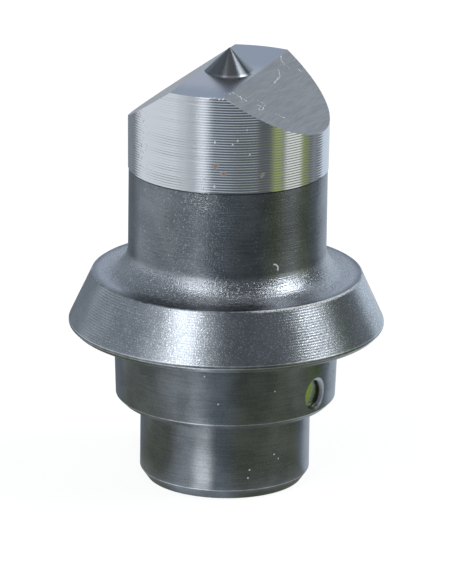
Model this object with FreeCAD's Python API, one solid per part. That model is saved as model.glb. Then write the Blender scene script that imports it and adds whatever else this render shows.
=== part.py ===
import FreeCAD, Part
import math
import os

# Piercing punch for a hydraulic steelworker: one bar of tool steel, turned all over,
# with a roof of two ground facets and a centring pip on its cutting end.
# All lengths are millimetres and all angles degrees. The punch stands on its back face
# at z = 0, its axis is Z, and the flat strip between the facets runs along Y.

# Spigot, the plain boss behind everything, which enters the holder
spigot_diameter = 22.0
spigot_length = 10.6
spigot_lead_in_width = 0.95
spigot_lead_in_height = 1.35

# Land, the collar behind the flange, which widens a little towards it
land_back_diameter = 28.4
land_length = 9.68
land_taper_angle = 2.1
land_edge_chamfer = 0.7

# Dimple in the side of the land, a shallow flat-bottomed pocket with a broken edge
dimple_diameter = 3.8
dimple_depth = 1.1
dimple_edge_distance = 0.9
dimple_edge_break = 0.3
dimple_bearing = -16.9

# Flange, whose cone the coupling nut pulls against
flange_edge_chamfer = 0.6
flange_rim_height = 0.36
flange_cone_height = 6.37
flange_cone_angle = 24.7
shoulder_flat_width = 1.16
shoulder_fillet_radius = 3.5

# Body and cutting tip
body_length = 14.15
body_step = 0.1
tip_diameter = 26.0
tip_length = 12.56
tip_back_taper_angle = 0.5

# Roof of the tip, two equal facets that fall away from a flat strip
strip_width = 7.2
facet_angle = 35.0

# Pip on the strip, a cone with a slightly blunted nose
pip_base_diameter = 6.4
pip_included_angle = 90.0
pip_nose_radius = 0.2

# How far a cutting tool runs past the surface that it cuts
tool_overrun = 1.0

# Radii that follow from the sizes above, from the tip inwards to the flange rim
spigot_radius = spigot_diameter / 2
land_back_radius = land_back_diameter / 2
tip_radius = tip_diameter / 2
tip_root_radius = tip_radius - tip_length * math.tan(math.radians(tip_back_taper_angle))
body_radius = tip_root_radius - body_step
cone_front_radius = body_radius + shoulder_fillet_radius + shoulder_flat_width
flange_radius = cone_front_radius + flange_cone_height * math.tan(math.radians(flange_cone_angle))

# Heights that follow from the sizes above, from the back face upwards
land_back_z = spigot_length
flange_back_z = land_back_z + land_length
rim_z = flange_back_z + flange_edge_chamfer
cone_back_z = rim_z + flange_rim_height
shoulder_z = cone_back_z + flange_cone_height
step_z = shoulder_z + body_length
strip_z = step_z + tip_length


def land_radius_at(z):
    """Radius of the tapered land at a height, kept to one rule for its side and its dimple."""
    return land_back_radius + (z - land_back_z) * math.tan(math.radians(land_taper_angle))


def section_point(radius, z):
    return FreeCAD.Vector(radius, 0, z)


def line(start, end):
    return Part.LineSegment(start, end).toShape()


def arc(centre, radius, start_angle, end_angle):
    """Arc in the section plane, its angles measured from the outward radius towards +Z."""
    points = []
    for angle in (start_angle, (start_angle + end_angle) / 2, end_angle):
        turn = math.radians(angle)
        points.append(centre + section_point(radius * math.cos(turn), radius * math.sin(turn)))
    return Part.Arc(*points).toShape()


def shank_section():
    """Corners of the half section from the axis at the back face up to the shoulder's flat."""
    chamfer_top_z = land_back_z + land_edge_chamfer
    return [
        section_point(0, 0),
        section_point(spigot_radius - spigot_lead_in_width, 0),
        section_point(spigot_radius, spigot_lead_in_height),
        section_point(spigot_radius, land_back_z),
        section_point(land_radius_at(chamfer_top_z) - land_edge_chamfer, land_back_z),
        section_point(land_radius_at(chamfer_top_z), chamfer_top_z),
        section_point(land_radius_at(flange_back_z), flange_back_z),
        section_point(flange_radius - flange_edge_chamfer, flange_back_z),
        section_point(flange_radius, rim_z),
        section_point(flange_radius, cone_back_z),
        section_point(cone_front_radius, shoulder_z),
        section_point(body_radius + shoulder_fillet_radius, shoulder_z),
    ]


def tip_section(pip_flank_end):
    """Corners of the half section from the top of the fillet up the body, tip and pip."""
    return [
        section_point(body_radius, shoulder_z + shoulder_fillet_radius),
        section_point(body_radius, step_z),
        section_point(tip_root_radius, step_z),
        section_point(tip_radius, strip_z),
        section_point(pip_base_diameter / 2, strip_z),
        pip_flank_end,
    ]


def turned_blank():
    """The punch as it leaves the lathe, with its cutting end still flat around the pip."""
    half_angle = pip_included_angle / 2
    sharp_apex_z = strip_z + pip_base_diameter / 2 / math.tan(math.radians(half_angle))
    nose_centre = section_point(0, sharp_apex_z - pip_nose_radius / math.sin(math.radians(half_angle)))
    nose = arc(nose_centre, pip_nose_radius, half_angle, 90)
    fillet_centre = section_point(body_radius + shoulder_fillet_radius, shoulder_z + shoulder_fillet_radius)
    fillet = arc(fillet_centre, shoulder_fillet_radius, 270, 180)

    shank = shank_section()
    tip = tip_section(nose.Vertexes[0].Point)
    edges = [line(a, b) for a, b in zip(shank, shank[1:])]
    edges.append(fillet)
    edges.extend(line(a, b) for a, b in zip(tip, tip[1:]))
    edges.append(nose)
    edges.append(line(nose.Vertexes[-1].Point, shank[0]))
    half_section = Part.Face(Part.Wire(edges))
    return half_section.revolve(FreeCAD.Vector(0, 0, 0), FreeCAD.Vector(0, 0, 1), 360)


def facet_wedge():
    """What the grinding wheel takes off the +X side: a prism under the level of the pip."""
    inner_x = strip_width / 2
    outer_x = tip_radius + tool_overrun
    fall = (outer_x - inner_x) * math.tan(math.radians(facet_angle))
    corners = [
        FreeCAD.Vector(inner_x, -outer_x, strip_z),
        FreeCAD.Vector(outer_x, -outer_x, strip_z + tool_overrun),
        FreeCAD.Vector(outer_x, -outer_x, strip_z - fall),
        FreeCAD.Vector(inner_x, -outer_x, strip_z),
    ]
    return Part.Face(Part.makePolygon(corners)).extrude(FreeCAD.Vector(0, 2 * outer_x, 0))


def dimple_cutter():
    """The end mill and its countersink, laid along X and then turned to the dimple's bearing."""
    radius = dimple_diameter / 2
    height = land_back_z + dimple_edge_distance + dimple_edge_break + radius
    mouth_x = land_radius_at(height)
    floor_x = mouth_x - dimple_depth
    outward = FreeCAD.Vector(1, 0, 0)
    mill = Part.makeCylinder(
        radius, dimple_depth + tool_overrun, FreeCAD.Vector(floor_x, 0, height), outward
    )
    countersink = Part.makeCone(
        radius,
        radius + dimple_edge_break + tool_overrun,
        dimple_edge_break + tool_overrun,
        FreeCAD.Vector(mouth_x - dimple_edge_break, 0, height),
        outward,
    )
    cutter = mill.fuse(countersink)
    cutter.rotate(FreeCAD.Vector(0, 0, 0), FreeCAD.Vector(0, 0, 1), dimple_bearing)
    return cutter


def punch():
    right_wedge = facet_wedge()
    left_wedge = right_wedge.mirror(FreeCAD.Vector(0, 0, 0), FreeCAD.Vector(1, 0, 0))
    finished = turned_blank().cut([right_wedge, left_wedge, dimple_cutter()])
    return finished.Solids[0]


os.makedirs("parts", exist_ok=True)
punch().exportStep("parts/punch.step")
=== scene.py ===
import math
import random

import bmesh
import bpy
from mathutils import Matrix, Vector


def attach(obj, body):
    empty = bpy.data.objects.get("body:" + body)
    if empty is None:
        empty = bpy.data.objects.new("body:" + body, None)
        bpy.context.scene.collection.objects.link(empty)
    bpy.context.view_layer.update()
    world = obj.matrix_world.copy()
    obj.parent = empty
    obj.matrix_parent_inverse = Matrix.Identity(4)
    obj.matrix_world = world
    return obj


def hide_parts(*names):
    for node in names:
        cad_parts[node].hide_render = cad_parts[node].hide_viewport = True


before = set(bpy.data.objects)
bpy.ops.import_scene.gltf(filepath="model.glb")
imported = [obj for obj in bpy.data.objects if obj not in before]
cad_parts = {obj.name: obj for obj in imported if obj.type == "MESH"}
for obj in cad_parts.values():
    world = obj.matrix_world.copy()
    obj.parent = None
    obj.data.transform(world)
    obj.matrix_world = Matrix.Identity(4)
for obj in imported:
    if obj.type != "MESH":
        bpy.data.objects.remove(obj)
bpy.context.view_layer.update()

# The turned bar
# One bar of tool steel is turned all over, so its shape is one half section spun about the axis.
# The cutting tip and the clamping cone keep open tool marks, one ring for each turn of the feed.
mm = 0.001
hair = 0.002 * mm
merge_distance = 0.0001 * mm
spigot_radius = 11.0 * mm
spigot_length = 10.6 * mm
lead_in_width = 0.95 * mm
lead_in_height = 1.35 * mm
land_back_radius = 14.2 * mm
land_length = 9.68 * mm
land_taper = math.tan(math.radians(2.1))
land_chamfer = 0.7 * mm
flange_chamfer = 0.6 * mm
rim_height = 0.36 * mm
cone_height = 6.37 * mm
cone_taper = math.tan(math.radians(24.7))
shoulder_flat_width = 1.16 * mm
fillet_radius = 3.5 * mm
fillet_steps = 20
body_length = 14.15 * mm
tip_radius = 13.0 * mm
tip_length = 12.56 * mm
tip_taper = math.tan(math.radians(0.5))
body_step = 0.1 * mm
feed = 0.3375 * mm
tip_mark_depth = 0.023 * mm
cone_mark_depth = 0.012 * mm
shallowest_mark = 0.75
deepest_mark = 1.2
front_break = 0.11 * mm
mark_steps = 5
pip_base_radius = 3.2 * mm
pip_half_angle = math.radians(45)
pip_nose_radius = 0.2 * mm
pip_nose_steps = 5
spin_steps = 200

land_z = spigot_length
flange_z = land_z + land_length
rim_z = flange_z + flange_chamfer
cone_z = rim_z + rim_height
shoulder_z = cone_z + cone_height
step_z = shoulder_z + body_length
strip_z = step_z + tip_length
tip_root_radius = tip_radius - tip_length * tip_taper
body_radius = tip_root_radius - body_step
cone_front_radius = body_radius + fillet_radius + shoulder_flat_width
flange_radius = cone_front_radius + cone_height * cone_taper
feed_wobble = random.Random(4)


def land_radius_at(z):
    return land_back_radius + (z - land_z) * land_taper


def arc_points(centre_radius, centre_z, radius, start, end, steps):
    """Points of a round stretch of the half section, without its first point."""
    points = []
    for step in range(1, steps + 1):
        angle = math.radians(start + (end - start) * step / steps)
        points.append((centre_radius + radius * math.cos(angle), centre_z + radius * math.sin(angle)))
    return points


def tool_marks(start, end, depth):
    """Points of a side that keeps its tool marks, each a shallow hollow between two crests."""
    length = math.dist(start, end)
    marks = round(length / feed)
    inward = ((start[1] - end[1]) / length, (end[0] - start[0]) / length)
    points = []
    for mark in range(marks):
        mark_depth = depth * feed_wobble.uniform(shallowest_mark, deepest_mark)
        for step in range(mark_steps):
            along = (mark + step / mark_steps) / marks
            hollow = 4 * mark_depth * (step / mark_steps) * (1 - step / mark_steps)
            points.append(tuple(a + (b - a) * along + hollow * n for a, b, n in zip(start, end, inward)))
    return points + [end]


def half_section():
    """Radius and height of each corner of the bar, from the axis below to the axis above."""
    chamfer_top = land_z + land_chamfer
    points = [
        (0, 0),
        (spigot_radius - lead_in_width, 0),
        (spigot_radius, lead_in_height),
        (spigot_radius, land_z),
        (land_radius_at(chamfer_top) - land_chamfer, land_z),
        (land_radius_at(chamfer_top), chamfer_top),
        (land_radius_at(flange_z), flange_z),
        (flange_radius - flange_chamfer, flange_z),
        (flange_radius, rim_z),
    ]
    cone_end = (cone_front_radius + front_break * cone_taper, shoulder_z - front_break)
    points += tool_marks((flange_radius, cone_z), cone_end, cone_mark_depth)
    points.append((cone_front_radius - front_break, shoulder_z))
    points.append((body_radius + fillet_radius, shoulder_z))
    points += arc_points(
        body_radius + fillet_radius, shoulder_z + fillet_radius, fillet_radius, 270, 180, fillet_steps
    )
    points.append((body_radius, step_z))
    points += tool_marks((tip_root_radius, step_z), (tip_radius, strip_z), tip_mark_depth)
    sharp_apex_z = strip_z + pip_base_radius / math.tan(pip_half_angle)
    nose_z = sharp_apex_z - pip_nose_radius / math.sin(pip_half_angle)
    nose_rise = pip_nose_radius * math.sin(pip_half_angle)
    points.append((pip_base_radius, strip_z))
    points.append((pip_nose_radius * math.cos(pip_half_angle), nose_z + nose_rise))
    points += arc_points(0, nose_z, pip_nose_radius, math.degrees(pip_half_angle), 90, pip_nose_steps)
    return points


bar = bmesh.new()
section = [bar.verts.new((radius, 0, z)) for radius, z in half_section()]
section_edges = [bar.edges.new(pair) for pair in zip(section, section[1:])]
bmesh.ops.spin(
    bar,
    geom=section + section_edges,
    cent=(0, 0, 0),
    axis=(0, 0, 1),
    angle=2 * math.pi,
    steps=spin_steps,
    use_merge=True,
    use_duplicate=False,
)
bmesh.ops.remove_doubles(bar, verts=bar.verts, dist=merge_distance)

# The roof
# Two facets are ground on the tip, falling away on both sides of a flat strip.
# The wheel stops short of the pip, which the lathe left standing on that strip.
strip_half_width = 3.6 * mm
facet_angle = math.radians(35)

for side in (1, -1):
    tip_faces = [
        face for face in bar.faces
        if all(v.co.z > step_z - hair and v.co.xy.length > pip_base_radius - hair for v in face.verts)
    ]
    tip_edges = {edge for face in tip_faces for edge in face.edges}
    tip_verts = {vert for face in tip_faces for vert in face.verts}
    bmesh.ops.bisect_plane(
        bar,
        geom=tip_faces + list(tip_edges) + list(tip_verts),
        dist=merge_distance,
        plane_co=(side * strip_half_width, 0, strip_z),
        plane_no=(side * math.sin(facet_angle), 0, math.cos(facet_angle)),
        clear_outer=True,
    )
bmesh.ops.holes_fill(bar, edges=[edge for edge in bar.edges if edge.is_boundary], sides=0)
bmesh.ops.recalc_face_normals(bar, faces=bar.faces)

# The broken edges
# A file breaks each sharp turned corner by a hair, and handling has rubbed those edges bright.
edge_break = 0.06 * mm
edge_break_segments = 2
broken_rings = [
    (spigot_radius - lead_in_width, 0),
    (spigot_radius, lead_in_height),
    (land_radius_at(flange_z), flange_z),
    (flange_radius - flange_chamfer, flange_z),
    (flange_radius, rim_z),
    (flange_radius, cone_z),
]


def ring_edges(form, radius, z):
    """Edges of the circle of that radius at that height."""
    return [
        edge for edge in form.edges
        if all(abs(v.co.xy.length - radius) < hair and abs(v.co.z - z) < hair for v in edge.verts)
    ]


for radius, z in broken_rings:
    bmesh.ops.bevel(
        bar,
        geom=ring_edges(bar, radius, z),
        offset=edge_break,
        offset_type="OFFSET",
        segments=edge_break_segments,
        profile=0.5,
        affect="EDGES",
        material=-1,
    )

# Which finish each face has
# The shank is tumbled dark, the cone and the tip are bright from the tool, and the roof is ground.
finishes = [
    "tumbled_shank",
    "turned_cone",
    "turned_tip",
    "ground_facet",
    "ground_strip",
    "turned_pip",
    "milled_dimple",
]
level = 0.9
sloping = 0.5


def finish_of(face):
    """The finish of a face, from where it lies and which way it looks."""
    centre = face.calc_center_median()
    if strip_z < centre.z and centre.xy.length < pip_base_radius:
        return "turned_pip"
    if step_z < centre.z and face.normal.z > level:
        return "ground_strip"
    if step_z < centre.z and face.normal.z > sloping:
        return "ground_facet"
    if step_z < centre.z:
        return "turned_tip"
    if cone_z < centre.z < shoulder_z and centre.xy.length > cone_front_radius - hair:
        return "turned_cone"
    return "tumbled_shank"


bmesh.ops.recalc_face_normals(bar, faces=bar.faces)
for face in bar.faces:
    face.material_index = finishes.index(finish_of(face))
    face.smooth = True
mesh = bpy.data.meshes.new("punch_bar")
bar.to_mesh(mesh)
bar.free()
punch = bpy.data.objects.new("punch_bar", mesh)
bpy.context.scene.collection.objects.link(punch)

# The dimple
# An end mill has sunk a shallow flat-bottomed pocket in the side of the land, and its rim is broken.
dimple_radius = 1.9 * mm
dimple_depth = 1.1 * mm
dimple_height = 3.1 * mm
dimple_z = land_z + dimple_height
dimple_edge_break = 0.3 * mm
dimple_bearing = math.radians(-16.9)
mill_overrun = 1.0 * mm
mill_steps = 72
mouth = land_radius_at(dimple_z)
mill_section = [
    (mouth - dimple_depth, 0),
    (mouth - dimple_depth, dimple_radius),
    (mouth - dimple_edge_break, dimple_radius),
    (mouth + mill_overrun, dimple_radius + dimple_edge_break + mill_overrun),
    (mouth + mill_overrun, 0),
]
mill = bmesh.new()
mill_verts = [mill.verts.new((x, 0, dimple_z + radius)) for x, radius in mill_section]
mill_edges = [mill.edges.new(pair) for pair in zip(mill_verts, mill_verts[1:])]
bmesh.ops.spin(
    mill,
    geom=mill_verts + mill_edges,
    cent=(0, 0, dimple_z),
    axis=(1, 0, 0),
    angle=2 * math.pi,
    steps=mill_steps,
    use_merge=True,
    use_duplicate=False,
)
bmesh.ops.remove_doubles(mill, verts=mill.verts, dist=merge_distance)
bmesh.ops.recalc_face_normals(mill, faces=mill.faces)
bmesh.ops.rotate(mill, verts=mill.verts, cent=(0, 0, 0), matrix=Matrix.Rotation(dimple_bearing, 3, "Z"))
for face in mill.faces:
    face.material_index = finishes.index("milled_dimple")
    face.smooth = True
mill_mesh = bpy.data.meshes.new("mill")
mill.to_mesh(mill_mesh)
mill.free()
mill_object = bpy.data.objects.new("mill", mill_mesh)
bpy.context.scene.collection.objects.link(mill_object)
for owner in (mesh, mill_mesh):
    for name in finishes:
        owner.materials.append(bpy.data.materials.get(name) or bpy.data.materials.new(name))
cut = punch.modifiers.new("dimple", "BOOLEAN")
cut.operation = "DIFFERENCE"
cut.solver = "EXACT"
cut.object = mill_object
finished = bpy.data.meshes.new_from_object(punch.evaluated_get(bpy.context.evaluated_depsgraph_get()))
punch.modifiers.clear()
punch.data = finished
bpy.data.objects.remove(mill_object)
crease_angle = math.radians(16)
finished.set_sharp_from_angle(angle=crease_angle)
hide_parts("punch")
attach(punch, "root")

# The tumbled shank
# After hardening, the shank is tumbled in stone, which leaves it dark and finely pitted; its glitter is
# painted glints.
# The fillet has the coarsest grain, faint turning lines show, and handling has rubbed the corners bright.
shank_dark = (0.182, 0.196, 0.211, 1)
shank_light = (0.305, 0.323, 0.343, 1)
fillet_steel = (0.53, 0.545, 0.565, 1)
rubbed_steel = (0.82, 0.83, 0.84, 1)
pit_and_painted_shade = (0.06, 0.065, 0.07, 1)
chip_and_painted_glint = (0.95, 0.95, 0.95, 1)
shank_polish = 0.29
shank_relief = 0.03 * mm
shank_draw = 0.75
quarter_turn = 0.25
rub_width = 0.16
rubbed_rings = [
    (spigot_radius - lead_in_width, 0),
    (spigot_radius, lead_in_height),
    (land_radius_at(land_z + land_chamfer), land_z + land_chamfer),
    (flange_radius - flange_chamfer, flange_z),
    (flange_radius, rim_z),
    (flange_radius, cone_z),
    (cone_front_radius, shoulder_z),
]
# Each mark has its bearing in degrees and its height in millimetres.
curled_dent = [(-43.0, 32.05), (-41.4, 31.9), (-40.4, 31.6), (-40.4, 31.2)]
land_dings = [(-44.8, 15.6), (-74.4, 14.2), (-81.6, 17.9)]
spigot_dings = [(-35.4, 5.7), (-32.0, 5.0), (-54.7, 3.0), (-53.7, 4.1)]
land_pits = [(-5.3, 17.0), (3.6, 15.4)]
scuff_place = (-86, 40.8)
lined_bearing = -30
lit_bearing = -89
shaded_bearing = -88
side_shade_bearing = -33
far_side_shade_bearing = -125
burred_bearing = -32


class Shade:
    """A socket of a node tree, so that what varies over a surface is written as plain maths."""

    def __init__(self, tree, socket=None):
        self.tree = tree
        self.socket = socket

    def make(self, kind, settings=None, inputs=None, output=0):
        """The output of a new node, whose settings are made before its sockets are set or linked."""
        node = self.tree.nodes.new(kind)
        for name, value in (settings or {}).items():
            setattr(node, name, value)
        for name, value in (inputs or {}).items():
            if isinstance(value, Shade):
                self.tree.links.new(value.socket, node.inputs[name])
            else:
                node.inputs[name].default_value = value
        return Shade(self.tree, node.outputs[output])

    def maths(self, operation, *values):
        """One step of maths on numbers."""
        return self.make("ShaderNodeMath", {"operation": operation}, dict(enumerate(values)))

    def vector(self, operation, *values, output=0):
        """One step of maths on places or colours."""
        return self.make("ShaderNodeVectorMath", {"operation": operation}, dict(enumerate(values)), output)

    def __add__(self, other):
        return self.maths("ADD", self, other)

    def __radd__(self, other):
        return self.maths("ADD", other, self)

    def __sub__(self, other):
        return self.maths("SUBTRACT", self, other)

    def __rsub__(self, other):
        return self.maths("SUBTRACT", other, self)

    def __mul__(self, other):
        return self.maths("MULTIPLY", self, other)

    def __rmul__(self, other):
        return self.maths("MULTIPLY", other, self)

    def __truediv__(self, other):
        return self.maths("DIVIDE", self, other)

    def __pow__(self, other):
        return self.maths("POWER", self, other)

    def __abs__(self):
        return self.maths("ABSOLUTE", self)

    def parts(self):
        """The three numbers of a place."""
        return [self.make("ShaderNodeSeparateXYZ", {}, {0: self}, axis) for axis in range(3)]

    def rise(self, low, high):
        """A mask that goes smoothly from 0 at low to 1 at high, or falls where high is the smaller."""
        inputs = {"Value": self, "From Min": low, "From Max": high}
        return self.make("ShaderNodeMapRange", {"interpolation_type": "SMOOTHSTEP"}, inputs)

    def blend(self, first, second):
        """The first colour where this mask is 0 and the second where it is 1."""
        return self.make("ShaderNodeMix", {"data_type": "RGBA"}, {0: self, 6: first, 7: second}, 2)

    def noise(self, size, detail=2, seed=0.0, stretch=(1, 1, 1)):
        """Cloudy noise with blobs of about that size in millimetres, on a place in millimetres."""
        moved = self.vector("MULTIPLY_ADD", self, stretch, (seed, seed, seed))
        return self.make("ShaderNodeTexNoise", {}, {"Vector": moved, "Scale": 1 / size, "Detail": detail})

    def bump(self, depth):
        """A normal from this height, where a height of 1 stands that many metres proud."""
        return self.make("ShaderNodeBump", {}, {"Height": self, "Distance": depth, "Strength": 1.0})

    def gap_to_point(self, point):
        """Distance in millimetres from this place to a point."""
        return self.vector("DISTANCE", self, point, output=1)

    def gap_to_line(self, points):
        """Distance in millimetres from this place to a line scratched through the points."""
        gaps = []
        for start, end in zip(points, points[1:]):
            along = Vector(end) - Vector(start)
            offset = self.vector("SUBTRACT", self, start)
            share = self.vector("DOT_PRODUCT", offset, along / along.length_squared, output=1)
            share = self.make("ShaderNodeClamp", {}, {"Value": share})
            foot = self.make("ShaderNodeVectorMath", {"operation": "SCALE"}, {0: along, "Scale": share})
            gaps.append(self.vector("DISTANCE", offset, foot, output=1))
        return least(gaps)


def least(gaps):
    """The smallest of several distances."""
    smallest = gaps[0]
    for gap in gaps[1:]:
        smallest = smallest.maths("MINIMUM", smallest, gap)
    return smallest


def start_finish(name):
    """The material of that name and a place on the surface in millimetres."""
    material = bpy.data.materials[name]
    material.use_nodes = True
    sheet = Shade(material.node_tree)
    place = sheet.make("ShaderNodeTexCoord", output="Object")
    place = place.make("ShaderNodeVectorMath", {"operation": "SCALE"}, {0: place, "Scale": 1 / mm})
    return material, place


def end_finish(material, colour, roughness, normal, anisotropic=0.0, metallic=1.0):
    """Steel of that colour, roughness and normal, whose highlights are drawn out along the bar."""
    steel = next(node for node in material.node_tree.nodes if node.type == "BSDF_PRINCIPLED")
    steel.inputs["Anisotropic"].default_value = anisotropic
    steel.inputs["Anisotropic Rotation"].default_value = quarter_turn
    varied = {"Base Color": colour, "Roughness": roughness, "Normal": normal, "Metallic": metallic}
    for name, value in varied.items():
        if isinstance(value, Shade):
            material.node_tree.links.new(value.socket, steel.inputs[name])
        else:
            steel.inputs[name].default_value = value


def on_bar(radius, bearing, height):
    """A place on the turned surface, in millimetres, from its bearing in degrees and its height."""
    turn = math.radians(bearing)
    return (radius / mm * math.cos(turn), radius / mm * math.sin(turn), height)


def on_land(bearing, height):
    """A place on the land, which widens towards the flange."""
    return on_bar(land_radius_at(height * mm), bearing, height)


def towards(x, y, bearing):
    """1 on the side of the bar that faces this bearing, 0 a quarter turn away and -1 behind."""
    turn = math.radians(bearing)
    return (x * math.cos(turn) + y * math.sin(turn)) / (x * x + y * y) ** 0.5


def rubbed(place, width):
    """A ragged mask along the turned corners."""
    x, y, up = place.parts()
    out = (x * x + y * y) ** 0.5
    gap = least([((out - radius / mm) ** 2 + (up - z / mm) ** 2) ** 0.5 for radius, z in rubbed_rings])
    return (gap + place.noise(0.9, 3, 6.0) * width).rise(width * 1.2, width * 0.75)


material, place = start_finish("tumbled_shank")
x, y, up = place.parts()
out = (x * x + y * y) ** 0.5
shoulder = shoulder_z / mm
fillet_top = (shoulder_z + fillet_radius) / mm
fillet_edge = (body_radius + fillet_radius) / mm
step = step_z / mm

# The grain of the whole shank, its turning lines and its cloudy patches.
grain = place.noise(0.2, 2)
lines = place.noise(0.16, 1, 3.0, (0.05, 0.05, 1))
patches = place.noise(4.0, 3, 11.0)
lined_side = towards(x, y, lined_bearing).rise(0.5, 0.95)
above_flange = up.rise(flange_z / mm, shoulder)
specks = place.noise(0.24, 0, 9.0).rise(0.7, 0.82) * (0.1 + 0.9 * above_flange)

# The coarse fillet, with painted glints and painted dark specks, and painted glints on the lit side of the
# body above it.
coarse = place.noise(0.17, 1, 7.0)
fillet = up.rise(fillet_top - 0.2, fillet_top - 1.3) * up.rise(shoulder - 0.3, shoulder)
fillet = fillet * out.rise(fillet_edge + 0.9, fillet_edge)
sparkle = place.noise(0.17, 1, 13.0)
lit_side = towards(x, y, lit_bearing).rise(0.9, 0.985) * above_flange
painted_glint_specks = sparkle.rise(0.59, 0.72) * (fillet * (0.75 - lined_side * 0.4) + lit_side * 0.3)
foot = fillet * out.rise(fillet_edge - 2.4, fillet_edge - 1.2)
painted_dark_specks = sparkle.rise(0.47, 0.33) * (fillet * 0.3 + foot * 0.3 + lit_side * 0.15)

# Painted shade darkens the shoulder, two sides of the body and the corner under the tip.
shaded = out.rise(fillet_edge - 1.4, fillet_edge - 0.3) * up.rise(shoulder - 0.3, shoulder)
shaded = shaded * towards(x, y, shaded_bearing).rise(0.72, 0.86)
painted_side_shade = towards(x, y, side_shade_bearing).rise(0.95, 0.99)
painted_side_shade = painted_side_shade + towards(x, y, far_side_shade_bearing).rise(0.7, 0.95) * 0.25
painted_side_shade = painted_side_shade * up.rise(fillet_top - 1, fillet_top)
painted_step_shadow = up.rise(step - 0.28, step - 0.12)

# Small damage: dings, pits, a scuff, rubbed corners and a burr on the shoulder's edge.
ding_gap = least(
    [place.gap_to_line([on_bar(body_radius, *point) for point in curled_dent])]
    + [place.gap_to_point(on_land(*ding)) for ding in land_dings]
    + [place.gap_to_point(on_bar(spigot_radius, *ding)) for ding in spigot_dings]
)
dings = (ding_gap + grain * 0.16).rise(0.22, 0.14)
pit_gap = least([place.gap_to_point(on_land(*pit)) for pit in land_pits])
pits = (pit_gap + grain * 0.2).rise(0.3, 0.18)
scratchy = place.noise(0.13, 2, 6.0, (0.5, 0.5, 1))
scuffed = place.gap_to_point(on_bar(body_radius, *scuff_place)).rise(2.6, 0.6) * scratchy.rise(0.52, 0.6)
rub = rubbed(place, rub_width)
burr_gap = ((out - cone_front_radius / mm) ** 2 + (up - shoulder) ** 2) ** 0.5
burr = towards(x, y, burred_bearing).rise(0.78, 0.95) * burr_gap.rise(0.22, 0.12) * grain.rise(0.36, 0.46)

colour = (patches * 0.7 + grain * 0.4 + lines * 0.3).rise(0.5, 0.9).blend(shank_dark, shank_light)
colour = fillet.blend(colour, fillet_steel)
# Dust specks, and painted glints on the fillet and on the lit side of the body.
colour = (specks * 0.3 + painted_glint_specks).blend(colour, chip_and_painted_glint)
# Painted shade under the step, on the shoulder, on two sides and in painted dark specks, with the real
# pits.
colour = (painted_step_shadow * 0.8 + pits + painted_dark_specks + painted_side_shade * 0.35 + shaded * 0.5).blend(colour, pit_and_painted_shade)
colour = (rub * 0.8).blend(colour, rubbed_steel)
colour = (dings + scuffed * 0.8 + burr).blend(colour, chip_and_painted_glint)
height = grain * (0.35 + above_flange * 0.65) + painted_glint_specks + coarse * fillet * (1.3 - lined_side * 0.9)
height = height + lines * (0.3 + above_flange * 0.8 + fillet * lined_side * 1.5)
height = height + (dings + scuffed) * 2 - pits * 3
roughness = shank_polish + (patches - 0.5) * 0.1 - fillet * 0.03 + (rub + dings) * 0.1
metal = 1 - dings * 0.4 - burr * 0.8
end_finish(material, colour, roughness, height.bump(shank_relief), shank_draw, metal)

# The clamping cone
# The press clamps the punch by this cone, so it is turned to an open bright finish after the tumbling.
# Both of its corners are bruised and rubbed.
cone_dark = (0.4, 0.42, 0.44, 1)
cone_light = (0.56, 0.58, 0.6, 1)
cone_polish = 0.26
cone_relief = 0.03 * mm
cone_draw = 0.6
cone_speck_bearing = -50
cone_burr_bearing = -28
material, place = start_finish("turned_cone")
x, y, up = place.parts()
grain = place.noise(0.2, 2, 5.0)
patches = place.noise(3.0, 3, 2.0)
specks = place.noise(0.17, 1, 3.0).rise(0.58, 0.7) * towards(x, y, cone_speck_bearing).rise(-0.1, 0.6)
rub = rubbed(place, rub_width)
colour = (patches * 0.6 + grain * 0.8).rise(0.5, 0.9).blend(cone_dark, cone_light)
burr = towards(x, y, cone_burr_bearing).rise(0.8, 0.97) * abs(up - shoulder).rise(0.3, 0.16)
burr = burr * grain.rise(0.42, 0.5)
colour = (specks + rub * 0.8 + burr).blend(colour, chip_and_painted_glint)
height = grain * 0.5 + burr * 1.5
end_finish(material, colour, cone_polish + rub * 0.1, height.bump(cone_relief), cone_draw, 1 - burr * 0.8)

# The cutting tip
# The cutting tip is turned last and stays bright, with small nicks from use and three spots of rust.
# Old dirt sits in the marks on one side, and a burr hangs on the front edge of the strip.
tip_steel = (0.745, 0.75, 0.76, 1)
tip_dirt = (0.3, 0.3, 0.31, 1)
rust = (0.26, 0.17, 0.1, 1)
tip_polish = 0.11
tip_relief = 0.01 * mm
tip_draw = 0.3
nick_places = [
    (-58.9, 46.9), (-88.8, 51.8), (-65.7, 48.8), (-68.4, 48.3), (-78.3, 48.5), (-99.3, 43.6),
    (-105.4, 44.6), (-84.4, 43.8), (-85.2, 42.3), (-78.4, 42.7), (-101.1, 42.5), (-60.5, 50.2),
]
rust_places = [(-77.7, 45.4), (-73.6, 44.4), (-51.3, 44.1)]
dirty_bearing = -137
front_burr_bearing = -78


def front_burr(place):
    """A broken mask over the bearings where the burr hangs on the strip's front edge."""
    x, y, up = place.parts()
    ragged = place.noise(0.35, 1, 3.0).rise(0.5, 0.56)
    return towards(x, y, front_burr_bearing).rise(0.984, 0.994) * ragged


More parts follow.
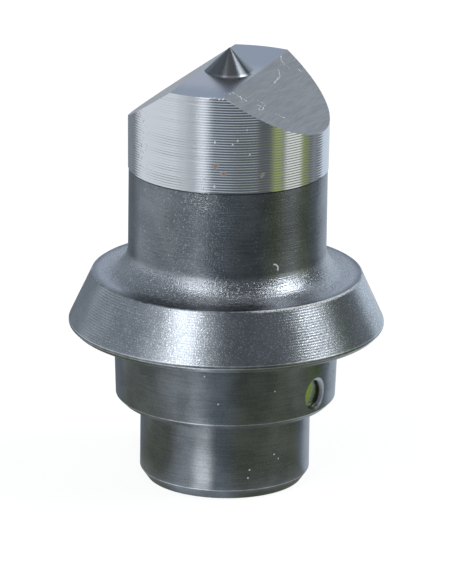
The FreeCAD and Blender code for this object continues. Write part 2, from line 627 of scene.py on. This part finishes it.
material, place = start_finish("turned_tip")
x, y, up = place.parts()
grain = place.noise(0.15, 1, 5.0)
nick_gap = least([place.gap_to_point(on_bar(tip_root_radius, *nick)) for nick in nick_places])
nicks = (nick_gap + grain * 0.3).rise(0.33, 0.2)
rust_gap = least([place.gap_to_point(on_bar(tip_root_radius, *spot)) for spot in rust_places])
rusted = (rust_gap + place.noise(0.5, 3, 2.0) * 0.9).rise(0.9, 0.6) * 0.85
dirt = place.noise(0.4, 3, 8.0).rise(0.58, 0.68) * towards(x, y, dirty_bearing).rise(0.96, 0.995)
colour = (dirt * 0.6).blend(tip_steel, tip_dirt)
colour = rusted.blend(colour, rust)
edge_burr = front_burr(place) * up.rise(strip_z / mm - 0.26, strip_z / mm - 0.16)
colour = (nicks + edge_burr).blend(colour, chip_and_painted_glint)
height = grain * 0.3 + nicks * 2.5
roughness = tip_polish + nicks * 0.3 + rusted * 0.4
metal = 1 - rusted * 0.7 - nicks * 0.3 - edge_burr * 0.8
end_finish(material, colour, roughness, height.bump(tip_relief), tip_draw, metal)

# The ground roof
# A wheel has ground the two facets along the strip and left fine lines, a burr and light scratches.
# The strip between them is finer; its colour is a painted bluish reflection of the sky, lighter across a
# band.
facet_dark = (0.31, 0.296, 0.293, 1)
facet_light = (0.39, 0.372, 0.37, 1)
strip_painted_sky_blue = (0.4, 0.428, 0.475, 1)
strip_bright = (0.58, 0.57, 0.595, 1)
# Each scratch is a line through points seen straight down, in millimetres.
facet_scratches = [
    [(3.4, -9.3), (4.7, -8.7), (5.3, -8.5)],
    [(4.5, -8.6), (5.0, -9.5)],
    [(4.7, 5.6), (5.4, 4.2), (5.5, 2.0), (5.6, 1.3)],
    [(3.6, 9.9), (4.1, 8.4), (4.7, 8.2), (5.4, 8.1)],
    [(5.9, -6.0), (6.5, -5.8), (7.0, -6.0)],
    [(6.9, -6.6), (7.1, -7.2), (6.8, -8.1)],
    [(6.3, -7.4), (6.6, -7.0)],
    [(8.2, -5.7), (8.9, -5.4), (9.2, -4.9)],
    [(6.0, 9.8), (6.4, 9.8)],
]
burr_ring = (3.2, -10.1, 0)
burr_ring_radius = 0.38
lay_angle = math.radians(5)
facet_polish = 0.26
facet_relief = 0.008 * mm
strip_polish = 0.23
strip_relief = 0.003 * mm


def roof_marks(place):
    """A mask of the scratches and the burr, seen straight down, and the wobble of a freehand line."""
    wobble = place.noise(0.5, 2, 4.0)
    plan = place.vector("MULTIPLY", place, (1, 1, 0))
    gap = least([plan.gap_to_line([(x, y, 0) for x, y in line]) for line in facet_scratches])
    ring = abs(plan.gap_to_point(burr_ring) - burr_ring_radius)
    faint = place.noise(0.7, 1, 8.0).rise(0.35, 0.6)
    return (least([gap, ring]) + (wobble - 0.5) * 0.36).rise(0.11, 0.04) * (0.4 + faint * 0.5)


for name, dark, light, polish, relief in (
    ("ground_facet", facet_dark, facet_light, facet_polish, facet_relief),
    ("ground_strip", strip_painted_sky_blue, strip_bright, strip_polish, strip_relief),
):
    material, place = start_finish(name)
    x, y, up = place.parts()
    out = (x * x + y * y) ** 0.5
    turned = place.make("ShaderNodeMapping", {}, {"Vector": place, "Rotation": (0, 0, lay_angle)})
    fine = turned.noise(0.12, 2, 5.0, (1, 0.03, 1))
    broad = turned.noise(0.5, 2, 1.0, (1, 0.05, 1))
    marks = roof_marks(place)
    if name == "ground_facet":
        tone = (fine * 0.6 + broad * 0.4).rise(0.38, 0.62)
    else:
        # On the strip, a painted sky reflection in blue, lighter across a band.
        tone = (abs(y + 3) + broad * 2).rise(9.0, 4.0)
    front = out.rise(tip_radius / mm - 0.5, tip_radius / mm - 0.3) * front_burr(place)
    marks = marks.maths("MAXIMUM", marks, front)
    colour = marks.blend(tone.blend(dark, light), chip_and_painted_glint)
    height = fine + marks * 3
    end_finish(material, colour, polish + marks * 0.25, height.bump(relief), 0.0, 1 - marks * 0.7)

# The pip
# The lathe has left a small cone on the strip, which centres the punch on a pricked mark.
# It is turned fine and dark, with a painted highlight along part of its foot.
pip_steel = (0.25, 0.26, 0.275, 1)
pip_polish = 0.2
pip_relief = 0.007 * mm
pip_highlight_bearing = -40
material, place = start_finish("turned_pip")
x, y, up = place.parts()
grain = place.noise(0.2, 2, 5.0)
# A painted highlight along one side of the foot.
foot = up.rise(strip_z / mm + 0.3, strip_z / mm + 0.1) * towards(x, y, pip_highlight_bearing).rise(0.1, 0.9)
colour = (foot * 0.4).blend(pip_steel, chip_and_painted_glint)
end_finish(material, colour, pip_polish, grain.bump(pip_relief))

# The dimple's floor, wall and rim
# The end mill has left the floor of the dimple bright, with a painted green reflection on it, and its wall
# has painted shade.
# The side of its rim that faces round the back has a painted highlight in light grey.
bright_floor_painted_green = (0.8, 0.84, 0.6, 1)
wall_painted_shade = (0.13, 0.14, 0.125, 1)
rim_highlight_grey = (0.4, 0.44, 0.5, 1)
milled_polish = 0.2
milled_relief = 0.006 * mm
material, place = start_finish("milled_dimple")
x, y, up = place.parts()
grain = place.noise(0.15, 2, 5.0)
out = x * math.cos(dimple_bearing) + y * math.sin(dimple_bearing)
aside = y * math.cos(dimple_bearing) - x * math.sin(dimple_bearing)
above = up - dimple_z / mm
wall = ((aside * aside + above ** 2) ** 0.5).rise(dimple_radius / mm - 0.12, dimple_radius / mm - 0.04)
painted_rim_highlight = (out + grain * 0.4).rise(mouth / mm - 0.66, mouth / mm - 0.44)
painted_rim_highlight = painted_rim_highlight * (aside + above * 0.5).rise(-0.4, 0.4)
# Painted green reflection on the floor, painted shade on the wall and a painted highlight on one side of
# the rim.
colour = wall.blend(bright_floor_painted_green, wall_painted_shade)
colour = painted_rim_highlight.blend(colour, rim_highlight_grey)
roughness = milled_polish + (wall + painted_rim_highlight) * 0.25
end_finish(material, colour, roughness, grain.bump(milled_relief), 0.0, 1 - painted_rim_highlight)

# The camera
# It stands well back and a little above the punch, turned to one side of the strip.
# The long lens keeps the sides of the punch nearly parallel.
camera_azimuth = math.radians(19.11)
camera_elevation = math.radians(17.632)
camera_roll = math.radians(0.742)
camera_distance = 800 * mm
aim_aside = -0.082 * mm
aim_height = 24.706 * mm
focal_length = 381.9
sensor_width = 36
nearest = 0.05
furthest = 50
aim = Vector((aim_aside * math.cos(camera_azimuth), aim_aside * math.sin(camera_azimuth), aim_height))
lens = bpy.data.cameras.new("camera")
lens.lens = focal_length
lens.sensor_width = sensor_width
lens.clip_start = nearest
lens.clip_end = furthest
camera = bpy.data.objects.new("camera", lens)
bpy.context.scene.collection.objects.link(camera)
back = Vector((
    math.sin(camera_azimuth) * math.cos(camera_elevation),
    -math.cos(camera_azimuth) * math.cos(camera_elevation),
    math.sin(camera_elevation),
))
camera.matrix_world = (
    Matrix.Translation(aim + back * camera_distance)
    @ back.to_track_quat("Z", "Y").to_matrix().to_4x4()
    @ Matrix.Rotation(camera_roll, 4, "Z")
)
bpy.context.scene.camera = camera

# The floor
# A wide pale disc under the punch, lit evenly, with a faint shadow where the punch stands.
floor_radius = 6.0
floor_glow = 0.865
floor_grey = (0.35, 0.35, 0.35, 1)
floor_light = (1, 0.995, 0.985, 1)
disc_segments = 96
floor = bmesh.new()
bmesh.ops.create_circle(floor, cap_ends=True, segments=disc_segments, radius=floor_radius)
floor_mesh = bpy.data.meshes.new("floor")
floor.to_mesh(floor_mesh)
floor.free()
floor_object = bpy.data.objects.new("floor", floor_mesh)
bpy.context.scene.collection.objects.link(floor_object)
floor_object.visible_glossy = False
floor_object.visible_shadow = False
floor_material = bpy.data.materials.new("floor")
floor_material.use_nodes = True
paint = floor_material.node_tree.nodes["Principled BSDF"]
paint.inputs["Base Color"].default_value = floor_grey
paint.inputs["Roughness"].default_value = 1.0
paint.inputs["Specular IOR Level"].default_value = 0.0
paint.inputs["Emission Color"].default_value = floor_light
paint.inputs["Emission Strength"].default_value = floor_glow
floor_mesh.materials.append(floor_material)

# The studio
# Soft cards of light stand round the punch, against white as the camera sees it.
# Each has its bearing from the camera's side, its half width, its lowest and highest angle,
# the softness of its edge, its strength and its tint.
facing = math.degrees(camera_azimuth) - 90
white = (0.95, 1.0, 1.07)
cool = (0.87, 1.0, 1.14)
blue = (0.88, 1.0, 1.2)
green = (0.95, 1.15, 0.1)
leaf = (1.05, 1.3, 0.0)
pale = (1.0, 1.04, 1.0)
backdrop = (1, 1, 1, 1)
cards = [
    ("ambient", 0, 180, -90, 62, 4, 0.12, cool),
    ("ceiling", 0, 180, 64, 100, 6, 0.26, white),
    ("left wall", -92.5, 37.5, -90, 4, 9, 0.67, white),
    ("left corner", -150, 14, -90, 30, 6, 0.14, cool),
    ("left wall head", -105, 46, 2, 60, 7, 0.16, cool),
    ("left window", -36.5, 13, 10, 66, 6, 1.4, white),
    ("left window head", -36.5, 11, 42, 68, 6, 1.2, white),
    ("left window glow", -38, 28, 6, 62, 12, 0.42, white),
    ("left window sill", -40, 15, -40, 4, 6, 0.43, white),
    ("left sill edge", -27, 7, -40, 4, 5, 0.22, white),
    ("table in front", -2, 38, -90, -24, 4, 0.42, cool),
    ("right window", 81, 13.5, 27, 58, 5, 3.7, white),
    ("right window head", 101, 12, 38, 60, 6, 1.7, white),
    ("right window sill", 79, 12, -50, 12, 4, 0.7, pale),
    ("green near", 58, 6, -60, 8, 4, 0.27, green),
    ("green far", 98, 6, -60, 8, 4, 0.16, leaf),
    ("right corner", 118, 8, -60, 6, 5, 0.14, white),
    ("right wall", 148.5, 16, -90, 40, 6, 0.6, cool),
    ("back wall", 181, 15, -4, 40, 6, 0.46, blue),
    ("back table", 177, 13, -90, -4, 4, 0.53, white),
]


def bearing_from(zero, x, y):
    """The bearing of a direction in degrees, counted from the bearing zero."""
    turn = math.radians(zero)
    ahead = x * math.cos(turn) + y * math.sin(turn)
    aside = y * math.cos(turn) - x * math.sin(turn)
    return aside.maths("ARCTAN2", aside, ahead) * math.degrees(1)


world = bpy.data.worlds.new("studio")
world.use_nodes = True
bpy.context.scene.world = world
sky = Shade(world.node_tree)
look = sky.make("ShaderNodeTexCoord", output="Generated")
x, y, z = look.parts()
rising = z.maths("ARCSINE", z) * math.degrees(1)
light = None
for name, bearing, half_width, low, high, edge, strength, tint in cards:
    off = abs(bearing_from(facing + bearing, x, y))
    mask = off.rise(half_width + edge, half_width - edge) if half_width < 180 else 1.0
    mask = rising.rise(low - edge, low + edge) * rising.rise(high + edge, high - edge) * mask
    glow = mask.make(
        "ShaderNodeVectorMath", {"operation": "SCALE"}, {0: [c * strength for c in tint], "Scale": mask}
    )
    light = glow if light is None else light.vector("ADD", light, glow)
shown = sky.make("ShaderNodeLightPath", output="Is Camera Ray").blend(light, backdrop)
background = next(node for node in world.node_tree.nodes if node.type == "BACKGROUND")
world.node_tree.links.new(shown.socket, background.inputs["Color"])
world.cycles.sampling_method = "AUTOMATIC"
bpy.context.scene.view_settings.view_transform = "Standard"

# The dark mat
# A sheet round the punch, seen only in reflections, glows with painted shade of the bench in places, a
# painted lighter ring and a painted green reflection.
# A stripe of painted window light on it glows and lights one stripe of the spigot.
mat_radius = 150 * mm
mat_depth = 0.2 * mm
bench_shade_green = (0.195, 0.214, 0.16, 1)
rim_light_grey = (0.34, 0.35, 0.36, 1)
reflected_leaf_green = (0.17, 0.24, 0.05, 1)
window_light_white = (2.2, 2.26, 2.3, 1)
window_stripe_shift = 5.8 * mm
mat = bmesh.new()
bmesh.ops.create_circle(mat, cap_ends=True, segments=disc_segments, radius=mat_radius)
mat_mesh = bpy.data.meshes.new("mat")
mat.to_mesh(mat_mesh)
mat.free()
mat_object = bpy.data.objects.new("mat", mat_mesh)
bpy.context.scene.collection.objects.link(mat_object)
mat_object.location.z = -mat_depth
mat_object.visible_camera = False
mat_object.visible_diffuse = False
mat_material = bpy.data.materials.new("mat")
mat_material.use_nodes = True
mat_mesh.materials.append(mat_material)
sheet = Shade(mat_material.node_tree)
x, y, z = sheet.make("ShaderNodeTexCoord", output="Object").parts()
far = (x * x + y * y) ** 0.5 / mm
bearing = bearing_from(facing, x, y)
# Painted shade of the bench where the sheet covers it, and half of it in one sector.
left = bearing.rise(-132, -100) * bearing.rise(-38, -70) * far.rise(96, 62)
right = bearing.rise(-6, 16) * bearing.rise(98, 84) * far.rise(95, 68)
wide = bearing.rise(44, 54) * bearing.rise(92, 84) * far.rise(75, 90) * far.rise(142, 128)
half = abs(bearing + 30).rise(16, 8) * far.rise(34, 40) * far.rise(64, 56) * 0.45
turn = math.radians(facing)
# A glowing stripe of painted window light.
window_stripe_bearing = bearing_from(facing, x - window_stripe_shift * math.cos(turn), y - window_stripe_shift * math.sin(turn))
window_stripe = window_stripe_bearing.rise(-58, -34) * window_stripe_bearing.rise(-8, -26) * far.rise(12.5, 14) * far.rise(33, 25)
# A painted green reflection.
green_reflection = abs(bearing - 97).rise(12, 7) * far.rise(36, 42) * far.rise(70, 62)
cover = left + right
for patch in (wide, half, window_stripe, green_reflection):
    cover = cover.maths("MAXIMUM", cover, patch)
# A painted lighter ring close round the punch.
rim_light = far.rise(10.4, 11.2) * far.rise(16, 13)
painted_light_and_shade = rim_light.blend(bench_shade_green, rim_light_grey)
painted_light_and_shade = green_reflection.blend(painted_light_and_shade, reflected_leaf_green)
painted_light_and_shade = window_stripe.blend(painted_light_and_shade, window_light_white)
mat_glow = sheet.make("ShaderNodeEmission", inputs={"Color": painted_light_and_shade, "Strength": 1.0})
clear = sheet.make("ShaderNodeBsdfTransparent")
both = sheet.make("ShaderNodeMixShader", inputs={0: cover, 1: clear, 2: mat_glow})
end = next(node for node in mat_material.node_tree.nodes if node.type == "OUTPUT_MATERIAL")
mat_material.node_tree.links.new(both.socket, end.inputs["Surface"])
